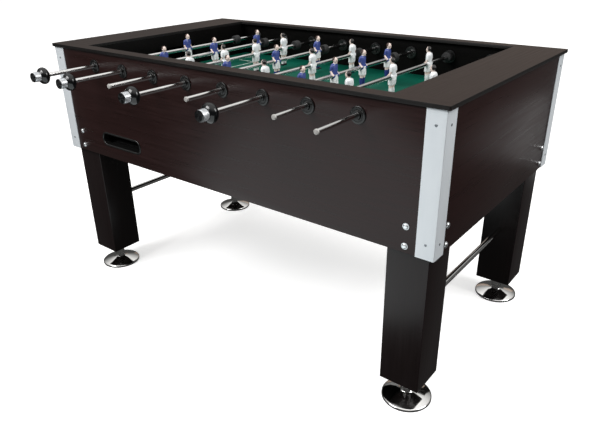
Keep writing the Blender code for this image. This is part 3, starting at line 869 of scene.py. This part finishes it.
def rod_tube(rod):
    """Chrome rod with a pale plastic cap on its plain end."""
    side = handle_side(rod)
    where = rod_place(rod)
    low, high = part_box("player_rod_%d" % rod)
    tube = eased_post(ROD_RADIUS, ROD_SET_BACK, high.y - low.y, 0.6 * MM)
    inside = (ROD_RADIUS + 0.1 * MM, ROD_SET_BACK - 0.1 * MM)
    cap = turned([(0, 0), (CAP_RADIUS - 1.6 * MM, 0), (CAP_RADIUS - 0.5 * MM, 0.5 * MM),
                  (CAP_RADIUS, 1.6 * MM), (CAP_RADIUS, CAP_LENGTH - 0.6 * MM),
                  (CAP_RADIUS - 0.5 * MM, CAP_LENGTH), (inside[0], CAP_LENGTH), inside,
                  (0, inside[1])], 40)
    plain_end = Matrix.Translation((where.x, low.y if side > 0 else high.y, where.z))
    moved(tube, lay_along_y(side), plain_end)
    moved(cap, lay_along_y(side), plain_end)
    body = "rod_%d" % rod
    place("rod_tube_%d" % rod, mesh_of("rod_tube", tube), body, "chrome", [CHROME_RODS],
          ["player_rod_%d" % rod])
    place("rod_end_cap_%d" % rod, mesh_of("rod_end_cap", cap), body, "black_plastic", [CAP_PLASTIC])


def handle_side(rod):
    return -1 if TEAMS[rod - 1] == "blue" else 1


def handle(rod, tree):
    """Three-piece handle: a black bulb by the table, a ribbed bright sleeve and an end cap."""
    side = handle_side(rod)
    node = "handle_%d" % rod
    low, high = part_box(node)
    start = high.y if side < 0 else low.y
    where = rod_place(rod)
    length = high.y - low.y
    bore = ROD_RADIUS + 0.2 * MM
    sleeve_end = GRIP_LENGTH + SLEEVE_LENGTH
    bulb = turned([(bore, 0), *BULB, (15.6 * MM, GRIP_LENGTH), (bore, GRIP_LENGTH), (bore, 0)], 64)
    sleeve = turned([
        (bore, GRIP_LENGTH), (SLEEVE_RADIUS - 0.8 * MM, GRIP_LENGTH),
        (SLEEVE_RADIUS, GRIP_LENGTH + 0.6 * MM), (SLEEVE_RADIUS, sleeve_end - 1.2 * MM),
        (SLEEVE_RADIUS - 0.6 * MM, sleeve_end), (bore, sleeve_end), (bore, GRIP_LENGTH)], 64)
    grooves = []
    for radius in (11.8, 8.0, 4.2):
        grooves += [(radius * MM, length), ((radius - 0.5) * MM, length - 0.9 * MM),
                    ((radius - 1.7) * MM, length - 0.9 * MM), ((radius - 2.2) * MM, length)]
    cap = turned([
        (0, sleeve_end), (13.6 * MM, sleeve_end), (14.2 * MM, sleeve_end + 0.5 * MM),
        (14.4 * MM, length - 1.0 * MM), (13.8 * MM, length - 0.2 * MM), (13.0 * MM, length),
        *grooves, (0, length)], 64)
    rib_length = SLEEVE_LENGTH - 4 * MM
    ribs = grow("sleeve_ribs", tree, {
        "Ribs": SLEEVE_RIBS, "Radius": SLEEVE_RADIUS, "Size": (0.8 * MM, 0.9 * MM, rib_length),
        "Centre": (0, 0, GRIP_LENGTH + 1.4 * MM + rib_length / 2), "Material": SLEEVE_SILVER})
    ribbing = bmesh.new()
    ribbing.from_mesh(ribs)
    for shape in (bulb, sleeve, cap, ribbing):
        moved(shape, lay_along_y(side), Matrix.Translation((where.x, start, where.z)))
    for label, shapes, slot, material, replaced in (
            ("bulb", [bulb], "black_plastic", GLOSS_BLACK, [node]),
            ("sleeve", [sleeve, ribbing], "chrome", SLEEVE_SILVER, []),
            ("cap", [cap], "black_plastic", GLOSS_BLACK, [])):
        place("handle_%s_%d" % (label, rod), mesh_of("handle_" + label, *shapes), "rod_%d" % rod,
              slot, [material], replaced)


def bumpers(rod):
    """Rubber bumpers with rounded rims and a shallow waist."""
    for label in ("front", "back"):
        node = "%s_bumper_%d" % (label, rod)
        low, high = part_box(node)
        middle = (low + high) / 2
        radius = (high.z - low.z) / 2
        half = (high.y - low.y) / 2
        bore = ROD_RADIUS + 0.15 * MM
        rim = 3.0 * MM
        side = arc((radius - rim, half - rim), rim, 90, 0, 5)
        outline = [(bore, half), *side, (radius - 0.6 * MM, 0)]
        outline += [(r, -h) for r, h in reversed(side)] + [(bore, -half), (bore, half)]
        ring = turned(outline, 48)
        moved(ring, lay_along_y(1), Matrix.Translation(middle))
        loose = "rod_%d_bumpers" % rod
        body = "cabinet" if node == "back_bumper_7" else loose
        place(node + "_rubber", mesh_of(node, ring), body, "black_rubber", [RUBBER], [node])


# ---------- men

REGIONS = ("Shirt", "Shorts", "Skin", "Hair", "Socks", "Shoes", "Pin")

# Sections of a man in millimetres about the rod's axis: height, forward place, half depth
# and half width
TORSO = ((-4, -0.4, 8.8, 11.0), (4, -0.4, 8.8, 11.0), (12, -0.6, 8.6, 11.6),
         (20, -0.9, 8.8, 13.2), (26, -1.2, 8.6, 14.2), (30.5, -1.2, 7.6, 13.6),
         (33.5, -0.8, 6.2, 10.2), (35.5, -0.2, 5.0, 6.6))
HIPS = ((3.4, -0.6, 9.6, 11.4), (-3, -1.0, 10.2, 12.2), (-9, -1.2, 10.4, 12.8),
        (-14, -0.9, 9.6, 12.6))
SHORTS_LEG = ((-6, -0.8, 8.6, 6.0), (-13, -0.6, 8.8, 6.6), (-20, 0.0, 8.6, 7.0),
              (-24, 0.3, 8.3, 7.0))
THIGH = ((-18, 0.2, 6.0, 5.4), (-26, 0.4, 5.6, 5.2), (-31, 0.7, 5.3, 4.9), (-36, 0.4, 4.8, 4.6))
SOCK = ((-33, 0.4, 5.7, 5.3), (-36, 0.2, 5.6, 5.2), (-42, -0.4, 5.9, 5.4), (-50, 0.0, 4.9, 4.8),
        (-58, 0.4, 4.6, 4.6))
NECK = ((32, 0.0, 4.6, 4.8), (35, 0.8, 4.2, 4.3), (40, 1.8, 4.4, 4.2))
# Shoe: forward place, height of its middle, half height and half width
SHOE = ((-6.4, -60.2, 2.8, 3.4), (-4.8, -59.6, 4.3, 5.0), (0, -59.6, 4.4, 5.3),
        (5.0, -60.8, 3.1, 5.5), (9.0, -61.4, 2.5, 4.8), (11.6, -61.9, 1.9, 3.0))
# Arm: place and radius at the shoulder, elbow, wrist and hand of the left side
SLEEVE_ARM = ((-1.2, 11.0, 30.6, 3.2), (-1.8, 13.0, 27.6, 4.0), (-2.6, 13.9, 21.6, 3.8),
              (-3.0, 14.1, 15.6, 3.5))
FOREARM = ((-2.8, 14.1, 17.6, 2.8), (-2.2, 14.2, 12.6, 2.9), (1.6, 14.0, 7.0, 2.7),
           (5.2, 13.4, 3.6, 2.5), (7.6, 12.6, 1.6, 3.1))
STANCE = 6.6
HEAD_MIDDLE = 44.0
HEAD_FORWARD = 2.4


def smooth_rows(rows, between=3):
    """Rows of numbers, with rows on a smooth curve through them put in between."""
    ended = [rows[0], *rows, rows[-1]]
    smooth = []
    for before, one, two, after in zip(ended, ended[1:], ended[2:], ended[3:]):
        for step in range(between):
            t = step / between
            smooth.append(tuple(
                0.5 * (2 * b + (c - a) * t + (2 * a - 5 * b + 4 * c - d) * t ** 2
                       + (3 * b - a - 3 * c + d) * t ** 3)
                for a, b, c, d in zip(before, one, two, after)))
    return smooth + [rows[-1]]


def oval(half_one, half_two, steps, square):
    """Points of a rounded rectangle-like oval; square 2 is an ellipse."""
    points = []
    for i in range(steps):
        angle = math.tau * i / steps
        one = math.copysign(abs(math.cos(angle)) ** (2 / square), math.cos(angle))
        two = math.copysign(abs(math.sin(angle)) ** (2 / square), math.sin(angle))
        points.append((half_one * one, half_two * two))
    return points


def upright(rows, side=0.0, steps=20, square=2.3):
    """A limb or body with level sections, moved sideways."""
    return loft([[(forward + x, side + y, height) for x, y in oval(depth, width, steps, square)]
                 for height, forward, depth, width in smooth_rows(rows)])


def lying(rows, side, steps=16, square=2.6):
    """A shoe with upright sections along its length."""
    return loft([[(forward, side + y, middle + z) for z, y in oval(height, width, steps, square)]
                 for forward, middle, height, width in smooth_rows(rows)])


def limb(rows, side, steps=12):
    """A round limb along a bent line of places and radii."""
    rows = [Vector((x, side * y, z, radius)) for x, y, z, radius in smooth_rows(rows)]
    rings = []
    for i, row in enumerate(rows):
        along = rows[min(i + 1, len(rows) - 1)].xyz - rows[max(i - 1, 0)].xyz
        turn = along.to_track_quat("Z", "Y")
        rings.append([turn @ Vector((x, y, 0)) + row.xyz for x, y in oval(row.w, row.w, steps, 2)])
    return loft(rings)


def ball(centre, radii, steps=20):
    shape = bmesh.new()
    bmesh.ops.create_uvsphere(shape, u_segments=steps, v_segments=steps * 2 // 3, radius=1)
    return moved(shape, Matrix.Diagonal((*radii, 1)), Matrix.Translation(centre))


def man_parts():
    """Closed shapes of one man, who faces +X, each with the region that it is painted in."""
    parts = [
        ("Shirt", upright(TORSO)),
        ("Shorts", upright(HIPS)),
        ("Shirt", moved(turned([(0, -14.2), (7.8, -14.2), (8.4, -13.6), (8.4, 13.6), (7.8, 14.2),
                                (0, 14.2)], 32), lay_along_y(1))),
        ("Skin", upright(NECK, steps=16, square=2)),
        ("Skin", ball((HEAD_FORWARD, 0, HEAD_MIDDLE), (7.8, 6.9, 9.4))),
        ("Hair", ball((HEAD_FORWARD - 2.0, 0, HEAD_MIDDLE + 1.7), (7.4, 7.5, 8.3))),
        ("Skin", ball((HEAD_FORWARD + 7.8, 0, HEAD_MIDDLE - 1.0), (1.5, 1.2, 1.8), 10)),
        ("Skin", ball((HEAD_FORWARD + 4.2, 0, HEAD_MIDDLE - 6.8), (3.1, 3.1, 2.2), 12)),
        ("Shorts", moved(turned([(4.4, -0.9), (5.8, -0.9), (6.1, 0.3), (5.2, 1.2), (4.4, 0.9),
                                 (4.4, -0.9)], 24), Matrix.Translation((0.2, 0, 34.9)))),
        ("Pin", moved(turned([(0, -9.6), (1.5, -9.6), (1.9, -9.2), (1.9, 9.2), (1.5, 9.6), (0, 9.6)],
                             20), Matrix.Rotation(QUARTER, 4, "Y"))),
    ]
    for side in (-1, 1):
        parts += [
            ("Skin", ball((HEAD_FORWARD, side * 6.9, HEAD_MIDDLE - 0.8), (1.5, 0.9, 2.2), 10)),
            ("Hair", ball((HEAD_FORWARD + 7.1, side * 2.7, HEAD_MIDDLE + 1.0), (0.7, 0.9, 0.7), 8)),
            ("Shirt", limb(SLEEVE_ARM, side)),
            ("Skin", limb(FOREARM, side)),
            ("Shorts", upright(SHORTS_LEG, side * STANCE)),
            ("Skin", upright(THIGH, side * STANCE, 16, 2)),
            ("Socks", upright(SOCK, side * STANCE, 16, 2)),
            ("Shoes", lying(SHOE, side * STANCE)),
        ]
    return parts


def make_man():
    """One closed man, with its faces numbered by region. It is copied onto the rods."""
    labels = [bpy.data.materials.new("region_" + region.lower()) for region in REGIONS]
    holders = []
    for region, shape in man_parts():
        for face in shape.faces:
            face.material_index = REGIONS.index(region)
        mesh = mesh_of("man", shape)
        for label in labels:
            mesh.materials.append(label)
        holders.append(hold("man", mesh))
    body, *limbs = holders
    group = bpy.data.collections.new("limbs")
    for item in limbs:
        group.objects.link(item)
    join = body.modifiers.new("join", "BOOLEAN")
    join.operation = "UNION"
    join.operand_type = "COLLECTION"
    join.solver = "EXACT"
    join.collection = group
    mesh = settle(body)
    for item in limbs:
        bpy.data.objects.remove(item)
    mesh.transform(Matrix.Scale(MM, 4))
    return hold("man", shade(mesh, 50))


def trim_materials(mesh):
    """Drop the material slots that no face uses."""
    kept = sorted({face.material_index for face in mesh.polygons})
    finishes = [mesh.materials[index] for index in kept]
    numbers = [kept.index(face.material_index) for face in mesh.polygons]
    mesh.materials.clear()
    for finish in finishes:
        mesh.materials.append(finish)
    mesh.polygons.foreach_set("material_index", numbers)


def men(rod, man, tree):
    """The men of one rod: blue ones face the right goal, white ones the left goal."""
    team = TEAMS[rod - 1]
    count = MEN[rod - 1]
    spacing = MAN_SPACING[count]
    first = rod_place(rod) - Vector((0, spacing * (count - 1) / 2, 0))
    turn = (0, 0, 0 if team == "blue" else math.pi)
    mesh = grow("men", tree, {
        "Part": man, "Count": count, "First": first, "Step": (0, spacing, 0), "Turn": turn,
        **PAINTS[team]})
    trim_materials(mesh)
    place("men_%d" % rod, mesh, "rod_%d" % rod, "chrome", [])


# ---------- stage

CAMERA_PLACE = (1.2108, -1.5201, 1.1684)
CAMERA_HEADING = math.radians(38.2)
CAMERA_TILT = math.radians(64.717)
CAMERA_ROLL = math.radians(-0.783)
CAMERA_LENS = 35.01
ROOM_LOW = 0.07
ROOM_HIGH = 1.3
DARK_BELOW = 0.2
BRIGHT_ABOVE = 0.95
SKY_WHITE = 1.05
FLOOR_GLOW = 0.45


def camera():
    data = bpy.data.cameras.new("camera")
    data.lens = CAMERA_LENS
    data.sensor_width = 36
    seer = bpy.data.objects.new("camera", data)
    bpy.context.scene.collection.objects.link(seer)
    turn = Matrix.Rotation(CAMERA_HEADING, 4, "Z") @ Matrix.Rotation(CAMERA_TILT, 4, "X")
    turn = turn @ Matrix.Rotation(CAMERA_ROLL, 4, "Z")
    seer.matrix_world = Matrix.Translation(CAMERA_PLACE) @ turn
    bpy.context.scene.camera = seer


def softbox(name, place_at, aim, size, power, turn=0.0, only_reflected=False,
            colour="#ffffff"):
    data = bpy.data.lights.new(name, "AREA")
    data.color = linear(colour)[:3]
    data.shape = "RECTANGLE"
    data.size, data.size_y = size
    data.energy = power
    lamp = bpy.data.objects.new(name, data)
    bpy.context.scene.collection.objects.link(lamp)
    away = Vector(place_at) - Vector(aim)
    spin = Matrix.Rotation(turn, 4, "Z")
    lamp.matrix_world = Matrix.Translation(place_at) @ spin @ (
        away.to_track_quat("Z", "Y").to_matrix().to_4x4())
    lamp.visible_camera = False
    lamp.visible_diffuse = not only_reflected


def studio_sky():
    """White to the camera, and for light and reflections a grey room, brighter overhead."""
    world = bpy.data.worlds.new("studio_sky")
    world.use_nodes = True
    tree = world.node_tree
    white = tree.nodes["Background"]
    white.inputs["Color"].default_value = linear("#ffffff")
    white.inputs["Strength"].default_value = SKY_WHITE
    place_at = add(tree, "ShaderNodeTexCoord")
    height = add(tree, "ShaderNodeSeparateXYZ", links={"Vector": place_at.outputs["Generated"]})
    level = add(tree, "ShaderNodeMapRange",
                {"From Min": DARK_BELOW, "From Max": BRIGHT_ABOVE, "To Min": ROOM_LOW,
                 "To Max": ROOM_HIGH}, {"Value": height.outputs["Z"]},
                interpolation_type="SMOOTHSTEP")
    room = add(tree, "ShaderNodeBackground", {"Color": linear("#fbfaf8")}, {"Strength": level})
    ray = add(tree, "ShaderNodeLightPath")
    both = add(tree, "ShaderNodeMixShader", links={
        0: ray.outputs["Is Camera Ray"], 1: room, 2: white})
    tree.links.new(both.outputs[0], tree.nodes["World Output"].inputs["Surface"])
    bpy.context.scene.world = world


def studio():
    """Pale floor in a grey room, with two large softboxes and three cards.

    The cards light nothing and only show as soft reflections: one lies in front of the table
    for its front board, one lies behind it for its right end, and a warm strip stands behind
    it for the rails.
    """
    material, _, shader = start_material("pale_floor", {"Roughness": 0.9})
    shader.inputs["Base Color"].default_value = linear("#ffffff")
    shader.inputs["Emission Color"].default_value = linear("#ffffff")
    shader.inputs["Emission Strength"].default_value = FLOOR_GLOW
    floor = hold("floor", mesh_of("floor", plain_box((-12, -12, -0.01), (12, 12, -0.0002))))
    floor.data.materials.append(material)
    floor.visible_glossy = False
    floor.visible_diffuse = False
    studio_sky()
    softbox("key_softbox", (-1.2, -3.0, 3.0), (0, 0, 0.6), (2.0, 1.4), 105)
    softbox("fill_softbox", (3.0, 0.6, 2.6), (0.2, 0, 0.6), (1.6, 1.6), 60)
    softbox("front_card", (-0.25, -2.79, 0.02), (-0.25, -2.79, 3), (2.75, 4.35), 54,
            math.radians(-33), True, "#edf5f7")
    softbox("warm_card", (-1.6, 3.2, 1.1), (-1.6, 0, 1.1), (4.8, 0.6), 2.6, 0.0, True,
            "#ffdcc0")
    softbox("back_card", (1.8, 2.8, 0.02), (1.8, 2.8, 3), (2.4, 2.4), 5.0, 0.0, True)
    bpy.context.scene.view_settings.view_transform = "Standard"


# ---------- the table

LAMINATE_X = grained_melamine("espresso_melamine_along_x", "X", "#1f0e0c", "#291514", 0.26, 0.36)
LAMINATE_Y = grained_melamine("espresso_melamine_along_y", "Y", "#1f0e0c", "#291514", 0.26, 0.36)
LAMINATE_Z = grained_melamine("espresso_melamine_along_z", "Z", "#150d0d", "#1c1313", 0.28, 0.38)
RAIL_X = grained_melamine("brown_rail_melamine_along_x", "X", "#221813", "#2a1f1a", 0.34, 0.46)
RAIL_Y = grained_melamine("brown_rail_melamine_along_y", "Y", "#221813", "#2a1f1a", 0.34, 0.46)
# Black melamine lining: matt, with a faint pressed texture that breaks up reflections
LINING = finish("black_melamine", {"Specular IOR Level": 0.06}, ([0.060] * 3, 4.0),
                ("#050404", "#090807"), (0.48, 0.62), ([0.0012] * 3, 2.0), 0.05 * MM)
# Black PVC edge band: a thin rounded line of smoother plastic round each rail
EDGE_BAND = finish("pvc_edge_band", {"Specular IOR Level": 0.25}, ((0.012, 0.012, 0.002), 2.0),
                   ("#0b0a0a", "#171413"), (0.36, 0.50), depth=0.03 * MM)
# Satin anodised aluminium angle: pale silver, brushed along its length. The brush lines are
# 0.6 mm apart, coarser than the real ones, so that they show
ALUMINIUM = finish("satin_anodised_aluminium", {"Metallic": 0.15, "Specular IOR Level": 0.6},
                   ((0.03, 0.03, 0.12), 2.0), ("#e0e7ec", "#edf2f6"), (0.30, 0.46),
                   ((0.0006, 0.0006, 0.080), 2.0), 0.02 * MM, brushed=True)
CHROME_RODS = chrome_plate("chrome_plated_rod", 0.10, 0.20)
CHROME_FEET = chrome_plate("chrome_plated_foot", 0.05, 0.12)
ZINC = zinc_plate("bright_zinc_plate", "#d4d7da", "#f0f2f3", 0.24, 0.40)
DULL_ZINC = zinc_plate("dull_zinc_plate", "#7e8387", "#989da1", 0.35, 0.50)
NYLON = moulded_plastic("black_moulded_nylon", "#070707", "#101010", 0.24, 0.36, 0.9 * MM,
                        0.05 * MM)
RUBBER = moulded_plastic("black_bumper_rubber", "#101011", "#1c1c1d", 0.55, 0.72, 1.2 * MM,
                         0.10 * MM)
GLOSS_BLACK = moulded_plastic("gloss_black_abs", "#060708", "#0c0e11", 0.10, 0.20, 3.0 * MM,
                              0.02 * MM)
# Silver lacquer on moulded plastic: a bright, slightly grainy metallic shine
SLEEVE_SILVER = finish("silver_lacquered_abs", {"Metallic": 0.7}, ([0.0008] * 3, 2.0),
                       ("#b9bcbf", "#dcdee0"), (0.28, 0.42), depth=0.02 * MM)
CHUTE_PLASTIC = moulded_plastic("black_moulded_abs", "#0b0b0b", "#151515", 0.30, 0.44, 1.5 * MM,
                                0.04 * MM)
CAP_PLASTIC = moulded_plastic("pale_grey_pvc_cap", "#a19f9c", "#bfbdb9", 0.35, 0.48, 1.0 * MM,
                              0.03 * MM)
FIELD = printed_field()
FIELD_WHITE = field_print_white()

HAIR = player_paint("black_hair_enamel", "#0d0b0b", "#1b1716")
BROWN_HAIR = player_paint("brown_hair_enamel", "#2c1a14", "#45291f")
FACE = player_paint("flesh_enamel", "#dcc4b9", "#f5e5dc")
SHOE_BLACK = player_paint("black_shoe_enamel", "#0e0e10", "#1d1d20")
SHIRT_WHITE = player_paint("white_shirt_enamel", "#e6e9ec", "#fbfcfd")
SHORTS_WHITE = player_paint("white_shorts_enamel", "#e8eaec", "#fbfcfc")
PIN_STEEL = chrome_plate("steel_pin", 0.25, 0.40)
PAINTS = {
    "blue": {
        "Shirt": player_paint("blue_shirt_enamel", "#2b3874", "#4c5da6"), "Shorts": SHORTS_WHITE,
        "Skin": FACE, "Hair": BROWN_HAIR,
        "Socks": player_paint("blue_sock_enamel", "#1d2a66", "#2c3d86"), "Shoes": SHOE_BLACK,
        "Pin": PIN_STEEL,
    },
    "white": {
        "Shirt": SHIRT_WHITE, "Shorts": SHORTS_WHITE, "Skin": FACE, "Hair": HAIR,
        "Socks": player_paint("white_sock_enamel", "#d9dddd", "#f3f5f5"), "Shoes": SHOE_BLACK,
        "Pin": PIN_STEEL,
    },
}

camera()
studio()
side_panel("front_panel", -1)
side_panel("back_panel", 1)
end_panel("left_end_panel", -1)
end_panel("right_end_panel", 1)
rails()
goal_wall("left_goal_wall")
goal_wall("right_goal_wall")
bottom_panel()
playfield()
field_lines()
ball_return("ball_return_front", -1)
ball_return("ball_return_back", 1)
fastener_rows()
bearings()
brace("leg_brace_left")
brace("leg_brace_right")
RIBS = ribs_tree()
for corner_name in CORNERS:
    corner_trim(corner_name)
    leg(corner_name)
    foot(corner_name, RIBS)
MAN = make_man()
MEN_ON_ROD = row_tree("men_on_a_rod", REGIONS)
for rod_number in RODS:
    rod_tube(rod_number)
    handle(rod_number, RIBS)
    bumpers(rod_number)
    men(rod_number, MAN, MEN_ON_ROD)
bpy.data.objects.remove(MAN)
